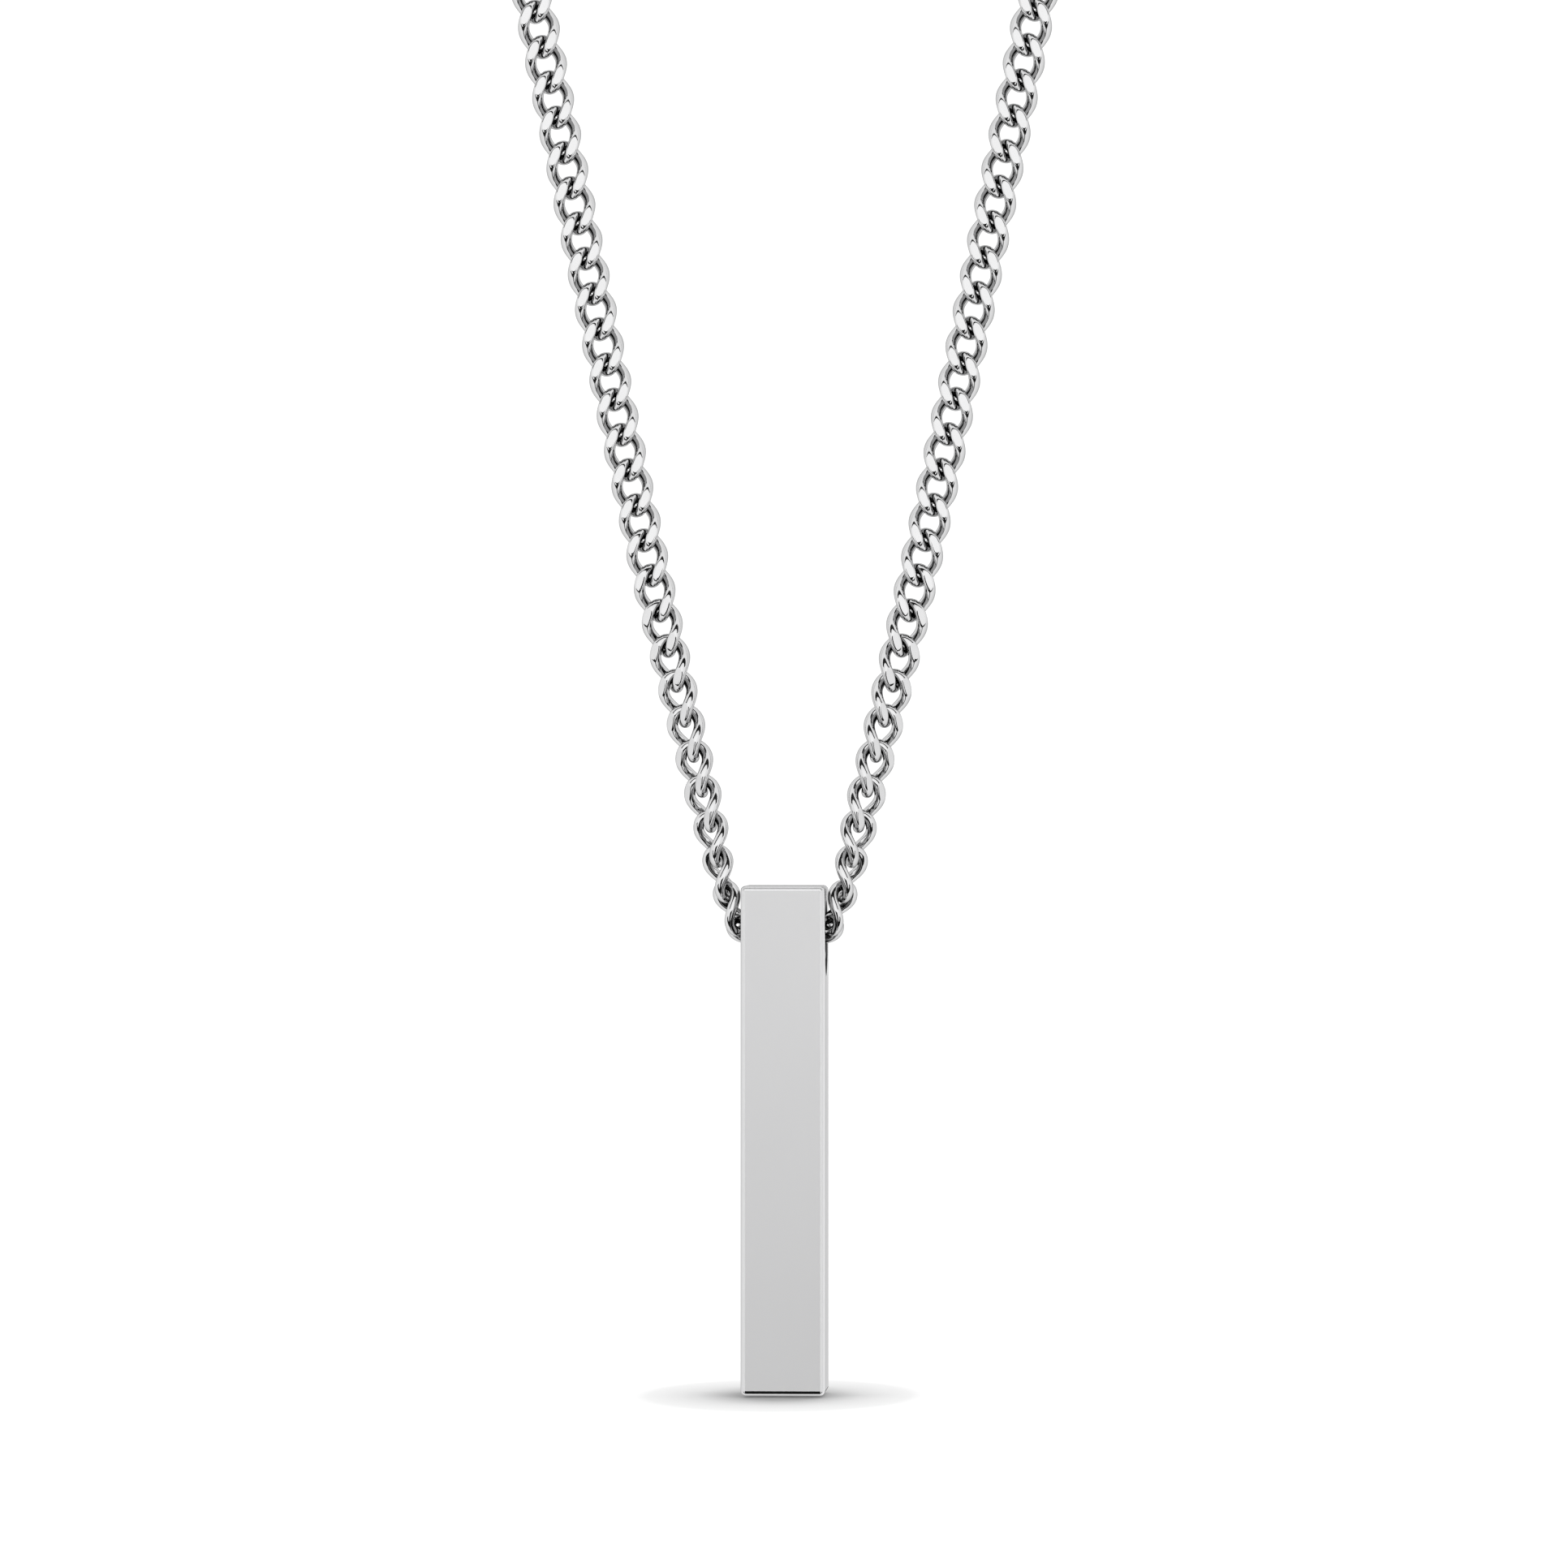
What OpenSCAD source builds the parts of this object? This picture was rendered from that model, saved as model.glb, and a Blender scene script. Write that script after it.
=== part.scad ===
// Bar pendant: a square steel bar hanging on a closed neck chain of curb links.
// Millimetres. X is across the wearer, Z is up and the front looks along +Y.
// The origin is at the top of the chain, in the middle of the clasp, where the necklace hangs.

/* [Bar] */
// Side of the square bar
bar_w = 6; // [5.8:0.1:7]
// Length of the bar
bar_l = 36.3; // [30:0.1:45]
// Radius of the bar's rounded edges
bar_edge_r = 0.35; // [0.2:0.05:0.5]
// Metal left above the slot that the chain runs through
slot_roof = 1; // [0.8:0.1:1.2]
// Width of the slot, front to back
slot_w = 4.4; // [4.2:0.1:4.8]
// Height of the slot
slot_h = 5.5; // [5.5:0.1:7]

/* [Chain links] */
// Width of the chain over the sides of a link
chain_w = 3; // [2.9:0.1:3.2]
// Diameter of the link wire
wire_d = 0.7; // [0.6:0.02:0.74]
// Length of chain that one link adds
link_pitch = 2.577; // [2.5:0.001:2.6]
// Clear space between the crossing wires of two links at rest
link_gap = 0.24; // [0.2:0.01:0.28]
// Turn of each end of a link out of the link's own plane
end_twist = 45; // [43:1:47]

/* [Strands] */
// Distance of the outermost hinge point at the slot from the bar's middle
mouth_x = 4.25; // [4.15:0.05:4.4]
// Depth of that point below the bar's top
mouth_depth = 0.42; // [0.35:0.01:0.5]
// Lean of the strands from vertical at the bar
lean_bar = 14.15; // [12:0.05:16]
// Lean of the strands from vertical further up
lean_top = 11.4; // [10:0.1:13]
// Height over which the lean eases from the one to the other
lean_reach = 24; // [15:1:35]
// Links in the leaning stretch of each strand
leaning_links = 74; // [70:1:76]
// Links in the round stretch over the neck, on each side
neck_links = 28; // [24:1:28]

/* [Clasp and rings] */
// Diameter of the jump ring wire
ring_wire_d = 0.8; // [0.7:0.05:0.85]
// Radius of a jump ring, to the middle of its wire
ring_r = 1.6; // [1.5:0.05:1.8]
// Thickness of the clasp
clasp_t = 1.2; // [1:0.1:1.3]
// Width of the clasp's body
clasp_w = 5; // [4:0.1:6]
// Width of the clasp's rim
clasp_rim = 0.8; // [0.7:0.05:0.9]

/* [Hidden] */
steel = "silver";
round_fn = 64;

// Two crossing wires lie this far apart, centre to centre, and each reaches half of it past their hinge point.
link_eye = wire_d + link_gap;
link_half_w = (chain_w - wire_d) / 2;
link_half_l = (link_pitch + link_eye) / 2;
// Sections round a link and round its wire.
link_sides = 10;
wire_sides = 5;
// Powers below 1 make a link squarer than an oval and carry its end's turn further along its sides.
link_square = 0.65;
twist_spread = 0.7;

// Leans and rolls of the first links at the slot, from the inside up. Two of them hang below the mouth.
near_leans = [44, 20, 14, 11.5];
near_rolls = [84, 82, 71, 56];
near_links = len(near_leans);
mouth_links = 2;
// Above these links the chain turns from this roll to flat.
roll_above = 46;
roll_links = 9;

// The plain oval link inside the slot: half-length and half-width to the middle of its wire, depth and roll.
middle_half_l = 2.58;
middle_half_w = 0.98;
middle_depth = 4.96;
middle_roll = -10;
middle_steps = 8;

// The stretch over the neck: its outer diameter, its sides and its clear space at each end.
neck_chain_d = 2.6;
neck_chain_sides = 8;
neck_chain_gap = 0.3;

function unit(v) = v / norm(v);
function ease(t) = let (u = min(1, max(0, t))) u * u * (3 - 2 * u);
function total(values, i = 0) = i == len(values) ? 0 : values[i] + total(values, i + 1);
function running_sums(values, i = 0, sum = 0) =
    i == len(values) ? [sum] : concat([sum], running_sums(values, i + 1, sum + values[i]));
function signed_power(v, p) = abs(v) < 1e-6 ? 0 : sign(v) * pow(abs(v), p);

// Lean from vertical of each link, counted from the lowest one that the slot hides.
function strand_lean(i) =
    i < near_links ? near_leans[i] :
    lean_top + (lean_bar - lean_top) * exp(-pow((i - mouth_links + 0.5) * link_pitch / lean_reach, 2));
leaning = [for (i = [mouth_links:mouth_links + leaning_links - 1]) strand_lean(i)];
// Over the neck the hinge points lie on a circle about the middle, which the leaning stretch runs into.
tangent_x = mouth_x + link_pitch * total([for (a = leaning) sin(a)]);
neck_r = tangent_x / cos(lean_top);
neck_step = 2 * asin(link_pitch / 2 / neck_r);
rounding = [for (i = [0:neck_links - 1]) lean_top - (i + 0.5) * neck_step];
leans = concat([for (i = [0:mouth_links - 1]) strand_lean(i)], leaning, rounding);

// Hinge points of the left strand, from inside the slot up to the clasp, with one link between each two.
sums_x = running_sums([for (a = leans) -link_pitch * sin(a)]);
sums_z = running_sums([for (a = leans) link_pitch * cos(a)]);
drop = sums_z[len(leans)] - sums_z[mouth_links] - mouth_depth;
hinges = [for (i = [0:len(leans)])
    [sums_x[i] - sums_x[mouth_links] - mouth_x, 0,
     sums_z[i] - sums_z[mouth_links] - mouth_depth - drop]];
top_hinge = hinges[len(leans)];
// Links drawn one by one, up to where the stretch over the neck begins.
drawn_links = mouth_links + leaning_links;

function roll(i) = i < near_links ? near_rolls[i] : roll_above * (1 - ease((i - near_links) / roll_links));

// Middle of the link's wire at an angle t round the link, in the link's own frame.
function link_point(t) =
    let (along = signed_power(cos(t), link_square),
         across = signed_power(sin(t), link_square),
         twist = end_twist * signed_power(along, twist_spread))
    [link_half_l * along, link_half_w * across * cos(twist), link_half_w * across * sin(twist)];
link_path = [for (i = [0:link_sides - 1]) link_point(360 * i / link_sides)];

// Rings of points of radius r about a closed path, each ring square to the path and set out from its middle.
function closed_rings(path, r, sides) =
    [for (i = [0:len(path) - 1])
        let (n = len(path),
             along = unit(path[(i + 1) % n] - path[(i + n - 1) % n]),
             out = unit(path[i] - along * (along * path[i])),
             up = cross(along, out))
        for (k = [0:sides - 1])
            let (a = 360 * k / sides) path[i] + r * (cos(a) * out + sin(a) * up)];
function ring_faces(rings, sides, first, closed) =
    [for (i = [0:rings - (closed ? 1 : 2)], k = [0:sides - 1])
        let (j = (i + 1) % rings, m = (k + 1) % sides)
        [for (v = [[i, k], [j, k], [j, m], [i, m]]) first + v[0] * sides + v[1]]];

link_points = closed_rings(link_path, wire_d / 2, wire_sides);

// A link's points between two hinge points, rolled about its length.
function placed(points, top, bottom, turn) =
    let (along = unit(bottom - top),
         side = cross([0, 1, 0], along) * cos(turn) + [0, 1, 0] * sin(turn),
         face = cross(along, side),
         middle = (top + bottom) / 2)
    [for (p = points) middle + p[0] * along + p[1] * side + p[2] * face];

module strand() {
    points_a_link = link_sides * wire_sides;
    polyhedron(
        points = [for (i = [0:drawn_links - 1])
            each placed(link_points, hinges[i + 1], hinges[i], roll(i))],
        faces = [for (i = [0:drawn_links - 1])
            each ring_faces(link_sides, wire_sides, i * points_a_link, true)],
        convexity = 10);
}

module chain_left() {
    color(steel) strand();
}

module chain_right() {
    color(steel) mirror([1, 0, 0]) strand();
}

// The stretch over the neck as one bent rod, with a ring of points at every other hinge.
neck_ends = [(link_eye + wire_d) / 2 + neck_chain_gap, (link_eye + ring_wire_d) / 2 + neck_chain_gap];
neck_path =
    let (n = len(leans), first = hinges[drawn_links], second = hinges[drawn_links + 1])
    concat([first + neck_ends[0] * unit(second - first)],
           [for (i = [drawn_links + 2:2:n - 2]) hinges[i]],
           [hinges[n] - neck_ends[1] * unit(hinges[n] - hinges[n - 1])]);
module neck_stretch() {
    n = len(neck_path);
    sides = neck_chain_sides;
    polyhedron(
        points = [for (i = [0:n - 1])
            let (along = unit(neck_path[min(i + 1, n - 1)] - neck_path[max(i - 1, 0)]),
                 side = cross([0, 1, 0], along))
            for (k = [0:sides - 1])
                let (a = 360 * k / sides) neck_path[i] + neck_chain_d / 2 * (cos(a) * side + sin(a) * [0, 1, 0])],
        faces = concat(
            [[for (k = [0:sides - 1]) k]],
            ring_faces(n, sides, 0, false),
            [[for (k = [sides - 1:-1:0]) (n - 1) * sides + k]]),
        convexity = 4);
}

module neck_chain_left() {
    color(steel) neck_stretch();
}

module neck_chain_right() {
    color(steel) mirror([1, 0, 0]) neck_stretch();
}

module middle_link() {
    straight = middle_half_l - middle_half_w;
    color(steel) translate([0, 0, -drop - middle_depth]) rotate([90 - middle_roll, 0, 0])
        polyhedron(
            points = closed_rings(
                [for (end = [1, -1], i = [0:middle_steps / 2 - 1])
                    let (a = 180 * i / (middle_steps / 2 - 1) - 90)
                    [end * (straight + middle_half_w * cos(a)), end * middle_half_w * sin(a), 0]],
                wire_d / 2, wire_sides),
            faces = ring_faces(middle_steps, wire_sides, 0, true));
}

module round_ring(r, d) {
    rotate_extrude($fn = round_fn) translate([r, 0]) circle(d = d, $fn = 24);
}

// Rings and clasp lie in one level line between the ends of the two strands.
ring_x = top_hinge[0] + ring_r - link_eye / 2;
module jump_ring_left() {
    color(steel) translate([ring_x, 0, 0]) round_ring(ring_r, ring_wire_d);
}

module jump_ring_right() {
    color(steel) translate([-ring_x, 0, 0]) round_ring(ring_r, ring_wire_d);
}

// Clear space between a jump ring and the clasp's rim.
clasp_gap = 0.2;
tail_hole_d = ring_wire_d + 4 * clasp_gap;
tail_x = ring_x + ring_r;
// The far rim's corners keep that space from the inside of the right ring; the near rim is also the eye's.
body_end_x = -ring_x - sqrt(pow(ring_r - ring_wire_d / 2 - clasp_gap, 2) - pow(clasp_t / 2, 2)) + clasp_rim;
body_start_x = tail_x + tail_hole_d / 2;
body_x = (body_start_x + body_end_x) / 2;
body_l = body_end_x - body_start_x;
module stadium(l, w) {
    square([l - w, w], center = true);
    for (end = [-1, 1])
        translate([end * (l - w) / 2, 0]) circle(d = w, $fn = round_fn);
}

module clasp() {
    color(steel) rotate([90, 0, 0]) linear_extrude(clasp_t, center = true)
        difference() {
            union() {
                translate([body_x, 0]) stadium(body_l, clasp_w);
                translate([tail_x, 0]) circle(d = tail_hole_d + 2 * clasp_rim, $fn = round_fn);
            }
            translate([body_x, 0]) stadium(body_l - 2 * clasp_rim, clasp_w - 2 * clasp_rim);
            translate([tail_x, 0]) circle(d = tail_hole_d, $fn = round_fn);
        }
}

module rounded_square(w, h, r) {
    square([w - 2 * r, h], center = true);
    square([w, h - 2 * r], center = true);
    for (x = [-1, 1], y = [-1, 1])
        translate([x * (w / 2 - r), y * (h / 2 - r)]) circle(r = r, $fn = round_fn);
}

module bar_blank() {
    intersection() {
        linear_extrude(bar_l + 1, center = true) rounded_square(bar_w, bar_w, bar_edge_r);
        rotate([90, 0, 0]) linear_extrude(bar_w + 1, center = true)
            rounded_square(bar_w, bar_l, bar_edge_r);
        rotate([0, 90, 0]) linear_extrude(bar_w + 1, center = true)
            rounded_square(bar_l, bar_w, bar_edge_r);
    }
}

// Upright slot with round ends, from side to side.
module slot() {
    rise = slot_h - slot_w;
    for (z = [-rise / 2, rise / 2])
        translate([0, 0, z]) rotate([0, 90, 0])
            cylinder(d = slot_w, h = bar_w + 1, center = true, $fn = round_fn);
    cube([bar_w + 1, slot_w, rise], center = true);
}

module bar() {
    color(steel) translate([0, 0, -drop])
        difference() {
            translate([0, 0, -bar_l / 2]) bar_blank();
            translate([0, 0, -slot_roof - slot_h / 2]) slot();
        }
}

bar();
chain_left();
chain_right();
neck_chain_left();
neck_chain_right();
middle_link();
jump_ring_left();
jump_ring_right();
clasp();
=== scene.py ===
import math

import bmesh
import bpy
import numpy as np
from mathutils import Matrix, Vector


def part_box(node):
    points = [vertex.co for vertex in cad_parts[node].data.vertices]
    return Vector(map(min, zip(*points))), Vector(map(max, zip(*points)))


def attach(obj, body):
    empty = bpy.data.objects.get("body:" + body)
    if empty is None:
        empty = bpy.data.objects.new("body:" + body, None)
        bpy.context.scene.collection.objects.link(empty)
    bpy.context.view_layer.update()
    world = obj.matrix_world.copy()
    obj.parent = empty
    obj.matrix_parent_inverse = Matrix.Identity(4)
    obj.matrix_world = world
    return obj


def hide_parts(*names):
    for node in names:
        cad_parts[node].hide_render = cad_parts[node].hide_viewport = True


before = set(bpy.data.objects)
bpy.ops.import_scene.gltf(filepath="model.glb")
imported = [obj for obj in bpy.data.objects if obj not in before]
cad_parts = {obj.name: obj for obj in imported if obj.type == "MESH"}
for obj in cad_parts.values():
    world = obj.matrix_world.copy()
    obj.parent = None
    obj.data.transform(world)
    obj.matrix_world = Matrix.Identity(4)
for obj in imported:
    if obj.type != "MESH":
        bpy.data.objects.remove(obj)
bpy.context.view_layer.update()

# Sizes and places below are in millimetres, and meshes are made in metres.
MM = 0.001

bar_low, bar_high = [np.array(corner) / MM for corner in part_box("bar")]
BAR_TOP = bar_high[2]
BAR_BOTTOM = bar_low[2]
BAR_HALF_W = bar_high[0]
BAR_EDGE_R = 0.35
BAR_EDGE_STEPS = 6
BAR_SIDE_LEAST_AREA = 10.0
SLOT_ROOF = 1.0
SLOT_W = 4.4
SLOT_H = 5.5
SLOT_SECTIONS = 24
SLOT_LIP = 0.06
SLOT_LIP_STEPS = 4

# Slack in comparisons of places.
SLACK = 0.001

# A face whose normal has a part at least this long along an axis is square to it.
SQUARE_ON = 0.999

# Places of the bar's materials on its mesh.
SATIN = 0
POLISHED = 1
# Dark grey inside the slot: painted shade in the recess.
SHADED_SLOT = 2

# Chain path, as in the part's source, and the turn of each link about its own length.
PITCH = 2.577
CHAIN_W = 3.0
MOUTH_X = 4.25
MOUTH_DEPTH = 0.42
LEAN_BAR = 14.15
LEAN_TOP = 11.4
LEAN_REACH = 24.0
LEANING_LINKS = 74
NECK_LINKS = 28
NEAR_LEANS = [44, 20, 14, 11.5]
NEAR_ROLLS = [84, 82, 71, 56]
MOUTH_LINKS = 2
ROLL_ABOVE = 46.0
ROLL_LINKS = 9
RING_ROLL = 50.0
RING_ROLL_LINKS = 6
STRAND_LINKS = MOUTH_LINKS + LEANING_LINKS

# Middle link and clasp
MIDDLE_HALF_L = 2.58
MIDDLE_HALF_W = 0.98
MIDDLE_DEPTH = 4.96
MIDDLE_ROLL = -10.0
MIDDLE_WIRE_D = 0.72
MIDDLE_SECTIONS = 40
MIDDLE_SIDES = 24
CLASP_T = 1.2
CLASP_EYE_T = 1.1
CLASP_W = 5.0
CLASP_RIM = 0.8
CLASP_EYE_R = 1.6
CLASP_CORNER_R = 0.25
CLASP_CORNER_STEPS = 6
CLASP_SECTIONS = 40

# Links of the finished chain. The four nearest the bar and those over the neck have sizes of their own.
WIRE_D = 0.82
NEAR_WIRES = [0.74, 0.74, 0.78, 0.78]
NEAR_FLATS = [1.05, 1.05, 1.0, 0.88]
NECK_CHAIN_W = 2.56
NECK_WIRE_D = 0.63
LINK_EYE = 0.93
LINK_SQUARE = 0.95
END_TWIST = 45.0
FLAT_HALF = 0.78
FLAT_STEPS = 4
ROUND_STEPS = 8
LEAST_FLAT = 0.35
PATH_DETAIL = 16
LOW_LINKS = 36
LOW_SECTIONS = 96
HIGH_SECTIONS = 48


# Chain path

def strand_leans():
    """Lean from vertical of each link of the left strand, from inside the slot upwards."""
    drawn = [
        LEAN_TOP + (LEAN_BAR - LEAN_TOP) * math.exp(-(((i - MOUTH_LINKS + 0.5) * PITCH / LEAN_REACH) ** 2))
        for i in range(STRAND_LINKS)
    ]
    drawn[:len(NEAR_LEANS)] = NEAR_LEANS
    leaning = drawn[MOUTH_LINKS:]
    tangent_x = MOUTH_X + PITCH * sum(math.sin(math.radians(a)) for a in leaning)
    neck_r = tangent_x / math.cos(math.radians(LEAN_TOP))
    step = math.degrees(2 * math.asin(PITCH / 2 / neck_r))
    rounding = [LEAN_TOP - (i + 0.5) * step for i in range(NECK_LINKS)]
    return drawn + rounding


def strand_hinges():
    """Hinge points of the left strand, with one link between each two."""
    points = [np.zeros(3)]
    for lean in strand_leans():
        a = math.radians(lean)
        points.append(points[-1] + PITCH * np.array([-math.sin(a), 0, math.cos(a)]))
    mouth = points[MOUTH_LINKS]
    shift = np.array([-MOUTH_X, 0, BAR_TOP - MOUTH_DEPTH]) - mouth
    return [p + shift for p in points]


def ease(t):
    """A smooth step from 0 to 1."""
    t = min(1.0, max(0.0, t))
    return t * t * (3 - 2 * t)


def link_roll(i):
    """Turn of a strand's link about its own length, in degrees."""
    near = len(NEAR_ROLLS)
    if i < near:
        return NEAR_ROLLS[i]
    by_ring = max(0, i + 1 + RING_ROLL_LINKS - STRAND_LINKS - NECK_LINKS)
    return ROLL_ABOVE * (1 - ease((i - near) / ROLL_LINKS)) + RING_ROLL * by_ring / RING_ROLL_LINKS


def link_sizes(i):
    """Wire, width and half the thickness between the ground faces of a strand's link."""
    if i < len(NEAR_WIRES):
        return NEAR_WIRES[i], CHAIN_W, NEAR_FLATS[i]
    if i < STRAND_LINKS:
        return WIRE_D, CHAIN_W, FLAT_HALF
    return NECK_WIRE_D, NECK_CHAIN_W, FLAT_HALF


# Meshes

def unit(v):
    return v / np.linalg.norm(v, axis=-1, keepdims=True)


def resampled(path, count):
    """A closed path again, with its points spaced evenly."""
    closed = np.vstack([path, path[:1]])
    run = np.concatenate([[0], np.cumsum(np.linalg.norm(np.diff(closed, axis=0), axis=1))])
    steps = np.linspace(0, run[-1], count, endpoint=False)
    return np.stack([np.interp(steps, run, closed[:, k]) for k in range(3)], axis=1)


def link_path(sections, wire_d, width):
    """Middle of a link's wire: an oval whose two ends are twisted opposite ways."""
    half_l = (PITCH + LINK_EYE) / 2
    half_w = (width - wire_d) / 2
    t = np.linspace(0, 2 * np.pi, sections * PATH_DETAIL, endpoint=False)
    along = np.sign(np.cos(t)) * np.abs(np.cos(t)) ** LINK_SQUARE
    across = np.sign(np.sin(t)) * np.abs(np.sin(t)) ** LINK_SQUARE
    twist = math.radians(END_TWIST) * np.sin(np.pi / 2 * along)
    columns = [half_l * along, half_w * across * np.cos(twist), half_w * across * np.sin(twist)]
    return resampled(np.stack(columns, axis=1), sections)


def wire_frames(path):
    """Outward and upward directions at each point of a closed path."""
    along = unit(np.roll(path, -1, axis=0) - np.roll(path, 1, axis=0))
    out = unit(path - along * np.sum(along * path, axis=1, keepdims=True))
    return out, np.cross(along, out)


def ring_faces(rings, sides):
    """Faces between the rings of points about a closed path."""
    faces = []
    for i in range(rings):
        j = (i + 1) % rings
        for k in range(sides):
            m = (k + 1) % sides
            faces.append((i * sides + k, i * sides + m, j * sides + m, j * sides + k))
    return faces


def ground_link(sections, wire_d, width, flat_half):
    """A curb link's points and faces, ground flat in front and behind."""
    path = link_path(sections, wire_d, width)
    out, up = wire_frames(path)
    r = wire_d / 2
    points = []
    for p, o, u in zip(path, out, up):
        reach = r * math.hypot(o[2], u[2])
        start = math.atan2(u[2], o[2])
        front = math.acos(min(1.0, max(-1.0, (flat_half - p[2]) / reach)))
        back = math.acos(min(1.0, max(-1.0, (flat_half + p[2]) / reach)))
        front = max(front, LEAST_FLAT)
        back = max(back, LEAST_FLAT)
        stops = [-front, front, np.pi - back, np.pi + back, 2 * np.pi - front]
        counts = [FLAT_STEPS, ROUND_STEPS, FLAT_STEPS, ROUND_STEPS]
        for a, b, n in zip(stops[:-1], stops[1:], counts):
            for angle in start + np.linspace(a, b, n, endpoint=False):
                q = p + r * (math.cos(angle) * o + math.sin(angle) * u)
                q[2] = min(flat_half, max(-flat_half, q[2]))
                points.append(q)
    return np.array(points), ring_faces(sections, 2 * (FLAT_STEPS + ROUND_STEPS))


def placed(points, top, bottom, roll):
    """A link's points between two hinge points, rolled about its length."""
    along = unit(bottom - top)
    y = np.array([0.0, 1.0, 0.0])
    a = math.radians(roll)
    side = np.cross(y, along) * math.cos(a) + y * math.sin(a)
    face = np.cross(along, side)
    return (top + bottom) / 2 + points @ np.stack([along, side, face])


def make_piece(name, points, faces):
    """A smooth piece of the scene from points in millimetres."""
    mesh = bpy.data.meshes.new(name)
    mesh.from_pydata([tuple(p) for p in np.asarray(points) * MM], [], faces)
    mesh.validate()
    mesh.polygons.foreach_set("use_smooth", [True] * len(mesh.polygons))
    mesh.update()
    piece = bpy.data.objects.new(name, mesh)
    bpy.context.scene.collection.objects.link(piece)
    return piece


def make_links(name, first, last, sections, mirrored):
    """Links first to last - 1 of a strand as one piece."""
    hinges = strand_hinges()
    points = []
    all_faces = []
    for i in range(first, last):
        link, faces = ground_link(sections, *link_sizes(i))
        base = len(link) * (i - first)
        points.append(placed(link, hinges[i + 1], hinges[i], link_roll(i)))
        all_faces += [tuple(base + v for v in f) for f in faces]
    points = np.concatenate(points)
    if mirrored:
        points[:, 0] *= -1
        all_faces = [f[::-1] for f in all_faces]
    return make_piece(name, points, all_faces)


def swept_ring(path, section):
    """Points and faces of a closed path swept by a section of (outward, upward) steps."""
    out, up = wire_frames(path)
    points = [p + s[0] * o + s[1] * u for p, o, u in zip(path, out, up) for s in section]
    return np.array(points), ring_faces(len(path), len(section))


def round_section(diameter, sides):
    """A circle, as (outward, upward) steps."""
    a = np.linspace(0, 2 * np.pi, sides, endpoint=False)
    return np.stack([np.cos(a), np.sin(a)], axis=1) * diameter / 2


def stadium(length, width, sections):
    """A closed path with two straight sides and round ends, about the origin in the XZ plane."""
    r = width / 2
    a = np.linspace(-np.pi / 2, np.pi / 2, sections)
    end = np.stack([(length / 2 - r) + r * np.cos(a), np.zeros(sections), r * np.sin(a)], axis=1)
    return resampled(np.vstack([end, -end]), 2 * sections)


def squared_section(width, height, corner_r, corner_steps):
    """A rectangle with rounded corners, as (outward, upward) steps."""
    corners = [(1, 1, 0), (-1, 1, 90), (-1, -1, 180), (1, -1, 270)]
    points = []
    for x, y, start in corners:
        a = np.radians(start + np.linspace(0, 90, corner_steps))
        middle = [x * (width / 2 - corner_r), y * (height / 2 - corner_r)]
        points.append(middle + corner_r * np.stack([np.cos(a), np.sin(a)], axis=1))
    return np.concatenate(points)


# Middle link and clasp

def make_middle_link():
    """The plain oval link inside the slot."""
    path = stadium(2 * MIDDLE_HALF_L, 2 * MIDDLE_HALF_W, MIDDLE_SECTIONS)
    points, faces = swept_ring(path, round_section(MIDDLE_WIRE_D, MIDDLE_SIDES))
    a = math.radians(MIDDLE_ROLL)
    x, y, z = points.T
    turned = np.stack([x, y * math.cos(a) + z * math.sin(a), z * math.cos(a) - y * math.sin(a)], axis=1)
    return make_piece("middle_wire", turned + [0, 0, BAR_TOP - MIDDLE_DEPTH], faces)


def make_clasp():
    """The clasp's body and its eye, which sits in the body's rim."""
    low, high = [np.array(corner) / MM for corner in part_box("clasp")]
    body_start = low[0] + 2 * CLASP_EYE_R - CLASP_RIM
    body_l = high[0] - body_start
    eye_l = 2 * CLASP_EYE_R
    parts = [
        (body_l, CLASP_W, CLASP_T, body_start + body_l / 2),
        (eye_l, eye_l, CLASP_EYE_T, low[0] + CLASP_EYE_R),
    ]
    points = np.zeros((0, 3))
    faces = []
    for length, width, thickness, middle_x in parts:
        path = stadium(length - CLASP_RIM, width - CLASP_RIM, CLASP_SECTIONS)
        section = squared_section(CLASP_RIM, thickness, CLASP_CORNER_R, CLASP_CORNER_STEPS)
        ring, ring_sides = swept_ring(path, section)
        faces += [tuple(len(points) + v for v in f) for f in ring_sides]
        points = np.vstack([points, ring + [middle_x, 0, 0]])
    return make_piece("clasp_body", points, faces)


# Bar

def rounded_box(half):
    """A closed box with rounded edges."""
    bm = bmesh.new()
    bmesh.ops.create_cube(bm, size=2.0)
    for v in bm.verts:
        v.co = Vector(half * np.array(v.co))
    bmesh.ops.bevel(bm, geom=bm.edges[:], offset=BAR_EDGE_R, segments=BAR_EDGE_STEPS, profile=0.5,
                    affect="EDGES", clamp_overlap=False)
    core = half - BAR_EDGE_R
    for v in bm.verts:
        inner = np.clip(np.array(v.co), -core, core)
        v.co = Vector(inner + BAR_EDGE_R * unit(np.array(v.co) - inner))
    return bm


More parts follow.
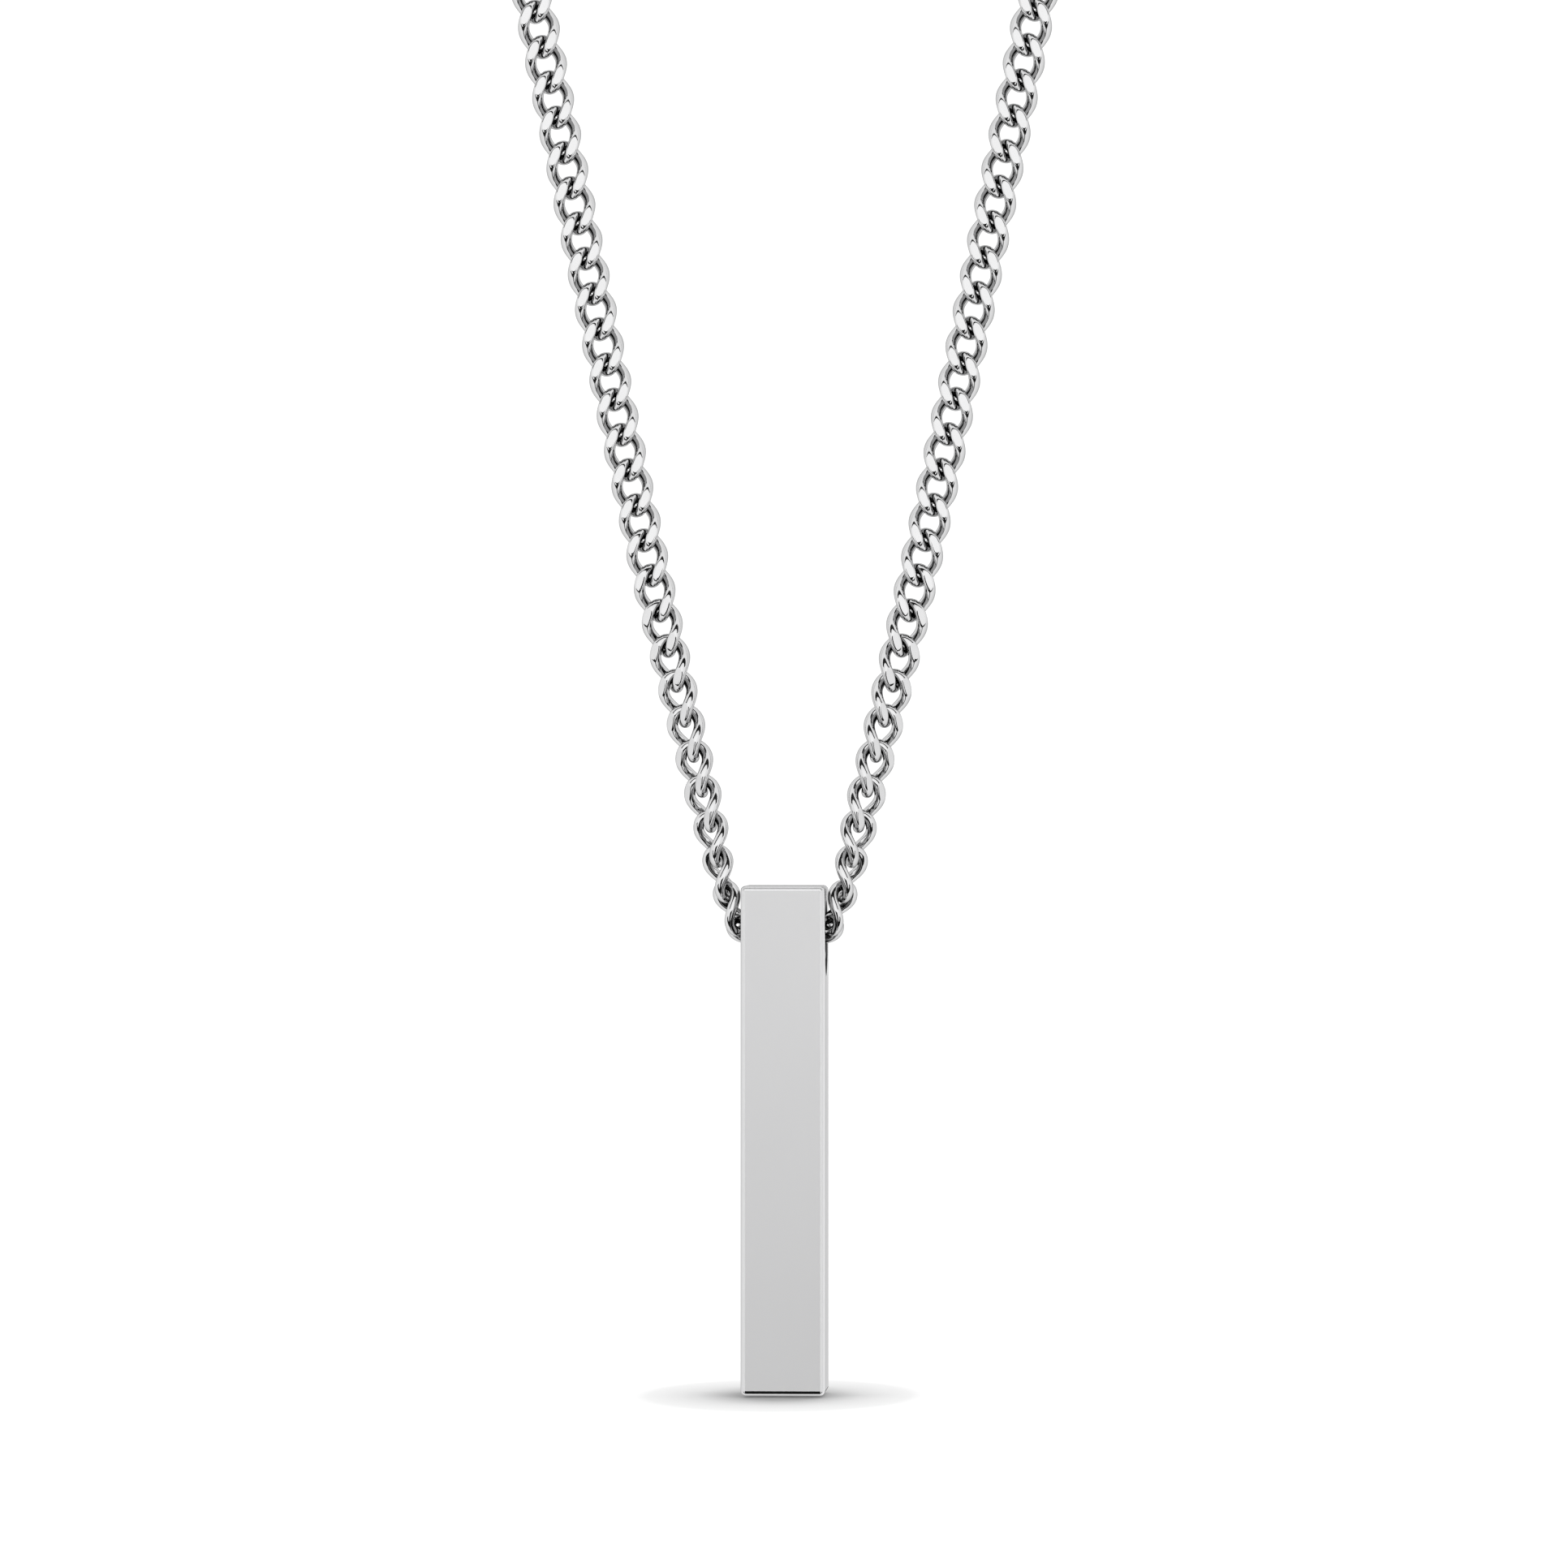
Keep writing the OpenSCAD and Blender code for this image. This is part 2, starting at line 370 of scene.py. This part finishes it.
def cut_slot(bm, half_w, slot_z):
    """Opens a box's two sides and joins them with the slot's wall, whose lips are softened."""
    sides = [f for f in bm.faces if abs(f.normal.x) > SQUARE_ON and f.calc_area() > BAR_SIDE_LEAST_AREA]
    rims = {}
    for f in sides:
        sign = 1 if f.normal.x > 0 else -1
        rims[sign] = list(f.edges)
    bmesh.ops.delete(bm, geom=sides, context="FACES_ONLY")
    lip_angles = np.linspace(0, np.pi / 2, SLOT_LIP_STEPS)
    right = [
        (half_w - SLOT_LIP + SLOT_LIP * math.cos(a), SLOT_LIP * (1 - math.sin(a)))
        for a in lip_angles
    ]
    left = [(-x, grow) for x, grow in right[::-1]]
    loops = []
    for x, grow in right + left:
        outline = stadium(SLOT_H + 2 * grow, SLOT_W + 2 * grow, SLOT_SECTIONS)
        loops.append([bm.verts.new((x, -p[2], slot_z + p[0])) for p in outline])
    for near, far in zip(loops[:-1], loops[1:]):
        n = len(near)
        for i in range(n):
            bm.faces.new((near[i], near[(i + 1) % n], far[(i + 1) % n], far[i]))
    bm.edges.ensure_lookup_table()
    for sign, loop in ((1, loops[0]), (-1, loops[-1])):
        hole = []
        for v, after in zip(loop, loop[1:] + loop[:1]):
            hole += [e for e in v.link_edges if e.other_vert(v) is after]
        bmesh.ops.triangle_fill(bm, edges=rims[sign] + hole, use_beauty=True, use_dissolve=False,
                                normal=(sign, 0, 0))
    bmesh.ops.recalc_face_normals(bm, faces=bm.faces[:])


def bar_normal(p, core, slot_z):
    """Outward normal at a point of the bar, with the slot's lips rounded."""
    rise = (SLOT_H - SLOT_W) / 2
    above = p[2] - slot_z
    off = np.array([0, p[1], above - min(rise, max(-rise, above))])
    grow = np.linalg.norm(off) - SLOT_W / 2
    if grow > SLOT_LIP + SLACK:
        return unit(p - np.clip(p, -core, core))
    lip = math.asin(min(1.0, max(0.0, 1 - grow / SLOT_LIP)))
    return unit(np.array([math.copysign(math.cos(lip), p[0]), 0, 0]) - unit(off) * math.sin(lip))


def bar_finish(face, core, slot_z):
    """Place of a face's material: polished on the foot's rounded edges, dark grey inside the slot as
    painted shade.
    """
    x, y, z = face.center
    if z < -core[2] - SLACK and np.abs(face.normal).max() < SQUARE_ON:
        return POLISHED
    inside_x = abs(x) < core[0] + BAR_EDGE_R - SLOT_LIP / 2
    inside_z = abs(z - slot_z) < SLOT_H / 2 + SLOT_LIP
    if inside_x and abs(y) < core[1] and inside_z:
        return SHADED_SLOT
    return SATIN


def bar_mesh():
    """The rounded square bar with its slot, its normals and its materials' places."""
    half = np.array([BAR_HALF_W, BAR_HALF_W, (BAR_TOP - BAR_BOTTOM) / 2])
    core = half - BAR_EDGE_R
    slot_z = half[2] - SLOT_ROOF - SLOT_H / 2
    bm = rounded_box(half)
    cut_slot(bm, half[0], slot_z)
    mesh = bpy.data.meshes.new("bar_body")
    bm.to_mesh(mesh)
    bm.free()
    normals = [bar_normal(np.array(v.co), core, slot_z) for v in mesh.vertices]
    finishes = [bar_finish(face, core, slot_z) for face in mesh.polygons]
    middle = Vector((0, 0, (BAR_TOP + BAR_BOTTOM) / 2))
    for v in mesh.vertices:
        v.co = (v.co + middle) * MM
    mesh.polygons.foreach_set("use_smooth", [True] * len(mesh.polygons))
    mesh.polygons.foreach_set("material_index", finishes)
    mesh.normals_split_custom_set_from_vertices([tuple(n) for n in normals])
    mesh.update()
    return mesh


# Materials

# Range of a noise that a material's greys and roughness are spread over.
NOISE_LOW = 0.3
NOISE_HIGH = 0.7


def new_material(name):
    """A material with its nodes, its links and its shader."""
    material = bpy.data.materials.new(name)
    material.use_nodes = True
    nodes = material.node_tree.nodes
    return material, nodes, material.node_tree.links, nodes["Principled BSDF"]


def stretched_noise(nodes, links, scale, stretch, detail):
    """Noise in object space, drawn out along some axes, as grinding and brushing leave it."""
    coords = nodes.new("ShaderNodeTexCoord")
    mapping = nodes.new("ShaderNodeMapping")
    mapping.inputs["Scale"].default_value = stretch
    noise = nodes.new("ShaderNodeTexNoise")
    noise.inputs["Scale"].default_value = scale
    noise.inputs["Detail"].default_value = detail
    links.new(coords.outputs["Object"], mapping.inputs["Vector"])
    links.new(mapping.outputs["Vector"], noise.inputs["Vector"])
    return noise


def ranged(nodes, links, source, low, high):
    """A noise spread from a low to a high value."""
    spread = nodes.new("ShaderNodeMapRange")
    spread.inputs["From Min"].default_value = NOISE_LOW
    spread.inputs["From Max"].default_value = NOISE_HIGH
    spread.inputs["To Min"].default_value = low
    spread.inputs["To Max"].default_value = high
    links.new(source.outputs["Fac"], spread.inputs["Value"])
    return spread.outputs["Result"]


def toned(nodes, links, source, dark, light):
    """A noise spread from a dark to a light colour."""
    ramp = nodes.new("ShaderNodeValToRGB")
    ramp.color_ramp.elements[0].position = NOISE_LOW
    ramp.color_ramp.elements[0].color = (*dark, 1)
    ramp.color_ramp.elements[1].position = NOISE_HIGH
    ramp.color_ramp.elements[1].color = (*light, 1)
    links.new(source.outputs["Fac"], ramp.inputs["Fac"])
    return ramp.outputs["Color"]


def satin_steel(name, dark, light):
    """Brushed steel between a dark and a light grey."""
    material, nodes, links, shader = new_material(name)
    shader.inputs["Metallic"].default_value = 1.0
    brushing = stretched_noise(nodes, links, scale=900.0, stretch=(6.0, 6.0, 0.35), detail=4.0)
    clouds = stretched_noise(nodes, links, scale=160.0, stretch=(1.0, 1.0, 0.4), detail=3.0)
    links.new(toned(nodes, links, clouds, dark, light), shader.inputs["Base Color"])
    links.new(ranged(nodes, links, brushing, low=0.32, high=0.34), shader.inputs["Roughness"])
    return material


def polished_steel():
    """Bright steel with slight wear."""
    material, nodes, links, shader = new_material("polished_steel")
    shader.inputs["Metallic"].default_value = 1.0
    wear = stretched_noise(nodes, links, scale=700.0, stretch=(1.0, 1.0, 1.0), detail=5.0)
    colour = toned(nodes, links, wear, dark=(0.86, 0.86, 0.865), light=(0.9, 0.9, 0.905))
    links.new(colour, shader.inputs["Base Color"])
    links.new(ranged(nodes, links, wear, low=0.06, high=0.1), shader.inputs["Roughness"])
    return material


def finish(piece, slot, *materials):
    """Gives a new piece its materials; the slot that they stand for is not used."""
    for material in materials:
        piece.data.materials.append(material)


# Pieces

satin = satin_steel("satin_steel", dark=(0.875, 0.875, 0.88), light=(0.89, 0.89, 0.895))
# Dark grey steel for the slot's walls: painted shade in the recess.
slot_shade = satin_steel("painted_shade_steel", dark=(0.2, 0.2, 0.2), light=(0.25, 0.25, 0.25))
polished = polished_steel()

for side, mirrored in (("left", False), ("right", True)):
    stretches = [
        ("low_links_", 0, LOW_LINKS, LOW_SECTIONS, "chain_"),
        ("high_links_", LOW_LINKS, STRAND_LINKS, HIGH_SECTIONS, "chain_"),
        ("neck_links_", STRAND_LINKS, STRAND_LINKS + NECK_LINKS, HIGH_SECTIONS, "neck_chain_"),
    ]
    for name, first, last, sections, node in stretches:
        piece = make_links(name + side, first, last, sections, mirrored)
        finish(piece, "polished_steel", polished)
        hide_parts(node + side)
        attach(piece, "necklace")

bar_piece = bpy.data.objects.new("bar_body", bar_mesh())
bpy.context.scene.collection.objects.link(bar_piece)
finish(bar_piece, "satin_steel", satin, polished, slot_shade)
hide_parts("bar")
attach(bar_piece, "bar")

for piece, node in ((make_middle_link(), "middle_link"), (make_clasp(), "clasp")):
    finish(piece, "polished_steel", polished)
    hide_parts(node)
    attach(piece, "necklace")

for node in ("jump_ring_left", "jump_ring_right"):
    bpy.data.objects[node].data.materials.clear()
    bpy.data.objects[node].data.materials.append(polished)

# Camera: level, turned a little to the wearer's left, with a frame 112 mm wide about the bar's top
VIEW_TURN = 3.1
VIEW_DISTANCE = 622.0
VIEW_FIELD = 112.1
CENTRE_ABOVE_BAR = 7.25
CENTRE_RIGHT = -0.05
CLIP_NEAR = 10.0
CLIP_FAR = 20000.0
SENSOR = 36.0
camera_data = bpy.data.cameras.new("camera")
camera_data.sensor_width = SENSOR
camera_data.sensor_fit = "HORIZONTAL"
camera_data.lens = SENSOR * VIEW_DISTANCE / VIEW_FIELD
camera_data.clip_start = CLIP_NEAR * MM
camera_data.clip_end = CLIP_FAR * MM
camera = bpy.data.objects.new("camera", camera_data)
bpy.context.scene.collection.objects.link(camera)
turn = math.radians(VIEW_TURN)
aim = Vector((CENTRE_RIGHT, 0, BAR_TOP + CENTRE_ABOVE_BAR)) * MM
camera.location = aim + Vector((math.sin(turn), -math.cos(turn), 0)) * VIEW_DISTANCE * MM
camera.rotation_euler = (math.radians(90), 0, turn)
bpy.context.scene.camera = camera
bpy.context.scene.view_settings.view_transform = "Standard"

# Floor
FLOOR_HALF = 600.0
FLOOR_DROP = 0.15
FLOOR_CORNERS = [(-1, -1), (1, -1), (1, 1), (-1, 1)]
floor_z = (BAR_BOTTOM - FLOOR_DROP) * MM
floor_points = [(x * FLOOR_HALF * MM, y * FLOOR_HALF * MM, floor_z) for x, y in FLOOR_CORNERS]
floor_data = bpy.data.meshes.new("floor")
floor_data.from_pydata(floor_points, [], [(0, 1, 2, 3)])
floor = bpy.data.objects.new("floor", floor_data)
bpy.context.scene.collection.objects.link(floor)
SHADOW_HALF_W = 10.4
SHADOW_HALF_D = 17.5
SHADOW_RIGHT = -0.4
SHADOW_BEHIND = 0.0
# Grey of the painted shadow on the floor, from the edge of the patch, at 0, to its middle, at 1.
SHADOW = [(0.0, 1.0), (0.1, 0.9), (0.21, 0.87), (0.33, 0.83), (0.43, 0.78), (0.52, 0.7), (0.62, 0.6),
          (0.72, 0.48)]


def grey_ramp(nodes, stops):
    """A colour ramp with (position, grey) stops."""
    ramp = nodes.new("ShaderNodeValToRGB")
    elements = ramp.color_ramp.elements
    while len(elements) < len(stops):
        elements.new(0.5)
    for element, (position, grey) in zip(elements, stops):
        element.position = position
        element.color = (grey, grey, grey, 1)
    return ramp


def floor_material():
    """White, with a painted shadow under the bar: the soft grey patch of the photo."""
    material, nodes, links, shader = new_material("floor")
    coords = nodes.new("ShaderNodeTexCoord")
    mapping = nodes.new("ShaderNodeMapping")
    shift = (-SHADOW_RIGHT / SHADOW_HALF_W, -SHADOW_BEHIND / SHADOW_HALF_D, -floor_z / MM)
    mapping.inputs["Location"].default_value = shift
    mapping.inputs["Scale"].default_value = (1 / (SHADOW_HALF_W * MM), 1 / (SHADOW_HALF_D * MM), 1 / MM)
    patch = nodes.new("ShaderNodeTexGradient")
    patch.gradient_type = "SPHERICAL"
    ramp = grey_ramp(nodes, SHADOW)
    links.new(coords.outputs["Object"], mapping.inputs["Vector"])
    links.new(mapping.outputs["Vector"], patch.inputs["Vector"])
    links.new(patch.outputs["Fac"], ramp.inputs["Fac"])
    # Painted shadow: the grey patch goes into the floor's base colour.
    links.new(ramp.outputs["Color"], shader.inputs["Base Color"])
    shader.inputs["Specular IOR Level"].default_value = 0.0
    return material


floor_data.materials.append(floor_material())
floor.visible_glossy = False

# Light: a white tent that polished metal sees with a dark ring about the camera and a dark card below it

# Grey of the tent in metal by how far a direction points to the front, from 0 behind to 1 in front.
TENT = [(0.0, 0.3), (0.05, 0.42), (0.15, 0.58), (0.3, 0.7), (0.5, 0.8), (0.88, 0.88), (0.97, 1.0)]
# Grey of the ring and the card.
DARK = 0.01
# The ring by the same measure. It is left out near the horizon.
RING_MIDDLE = 0.78
RING_REACH = 0.065
RING_CLEAR = 0.24
# The card by its reach to each side and by its height.
CARD_SIDE = 0.3
CARD_MIDDLE = -0.54
CARD_REACH = 0.44
# Share of the tent's light lost at each further reflection between metal surfaces.
BOUNCE_LOSS = 0.55
# Brightness of the tent for the camera and for matt surfaces.
WHITE = 1.1
world = bpy.data.worlds.new("studio")
bpy.context.scene.world = world
world.use_nodes = True
tent_nodes = world.node_tree.nodes
tent_links = world.node_tree.links


def tent_value(source):
    """A socket's or a number's place in the tent's shading."""
    if isinstance(source, float):
        value = tent_nodes.new("ShaderNodeValue")
        value.outputs["Value"].default_value = source
        return value.outputs["Value"]
    return source


def tent_math(operation, *sources):
    """The result of a sum on sockets and numbers."""
    node = tent_nodes.new("ShaderNodeMath")
    node.operation = operation
    for i, source in enumerate(sources):
        tent_links.new(tent_value(source), node.inputs[i])
    return node.outputs["Value"]


def tent_mixed(factor, low, high):
    """The first value, or the second where the factor is 1."""
    return tent_math("ADD", tent_math("MULTIPLY", tent_math("SUBTRACT", 1.0, factor), low),
                     tent_math("MULTIPLY", factor, high))


ray = tent_nodes.new("ShaderNodeLightPath")
direction = tent_nodes.new("ShaderNodeSeparateXYZ")
tent_links.new(tent_nodes.new("ShaderNodeTexCoord").outputs["Generated"], direction.inputs["Vector"])
front = tent_math("MULTIPLY_ADD", direction.outputs["Y"], -0.5, 0.5)
tent_ramp = grey_ramp(tent_nodes, TENT)
tent_links.new(front, tent_ramp.inputs["Fac"])
sideways = tent_math("ABSOLUTE", tent_math("DIVIDE", direction.outputs["X"], direction.outputs["Y"]))
card = tent_math("MULTIPLY", tent_math("LESS_THAN", sideways, CARD_SIDE),
                 tent_math("COMPARE", direction.outputs["Z"], CARD_MIDDLE, CARD_REACH))
card = tent_math("MULTIPLY", card, tent_math("GREATER_THAN", front, 0.5))
ring = tent_math("MULTIPLY", tent_math("COMPARE", front, RING_MIDDLE, RING_REACH),
                 tent_math("GREATER_THAN", tent_math("ABSOLUTE", direction.outputs["Z"]), RING_CLEAR))
in_metal = tent_mixed(tent_math("MAXIMUM", card, ring), tent_ramp.outputs["Color"], DARK)
kept = tent_math("MULTIPLY_ADD", ray.outputs["Glossy Depth"], -BOUNCE_LOSS, 1 + BOUNCE_LOSS)
in_metal = tent_math("MULTIPLY", in_metal, tent_math("MAXIMUM", kept, 0.0))
tent = tent_mixed(ray.outputs["Is Glossy Ray"], WHITE, in_metal)
tent_links.new(tent, tent_nodes["Background"].inputs["Color"])

only_bar = bpy.data.collections.new("lit_bar")
only_bar.objects.link(bar_piece)


def bar_light(name, azimuth, elevation, width, height, distance, radiance):
    """A soft light that only the bar receives, placed by angles in degrees about the camera's aim."""
    light_data = bpy.data.lights.new(name, "AREA")
    light_data.shape = "RECTANGLE"
    light_data.size = width * MM
    light_data.size_y = height * MM
    light_data.energy = radiance * math.pi * width * MM * height * MM
    light = bpy.data.objects.new(name, light_data)
    a = math.radians(azimuth)
    e = math.radians(elevation)
    away = Vector((math.sin(a) * math.cos(e), -math.cos(a) * math.cos(e), math.sin(e)))
    place = Matrix.Translation(aim + away * distance * MM)
    light.matrix_world = place @ away.to_track_quat("Z", "Y").to_matrix().to_4x4()
    light.visible_camera = False
    light.light_linking.receiver_collection = only_bar
    bpy.context.scene.collection.objects.link(light)


bar_light("bar_light_side", azimuth=140, elevation=0, width=600, height=1200, distance=500, radiance=0.38)
bar_light("bar_light_top", azimuth=0, elevation=20, width=80, height=80, distance=150, radiance=0.18)
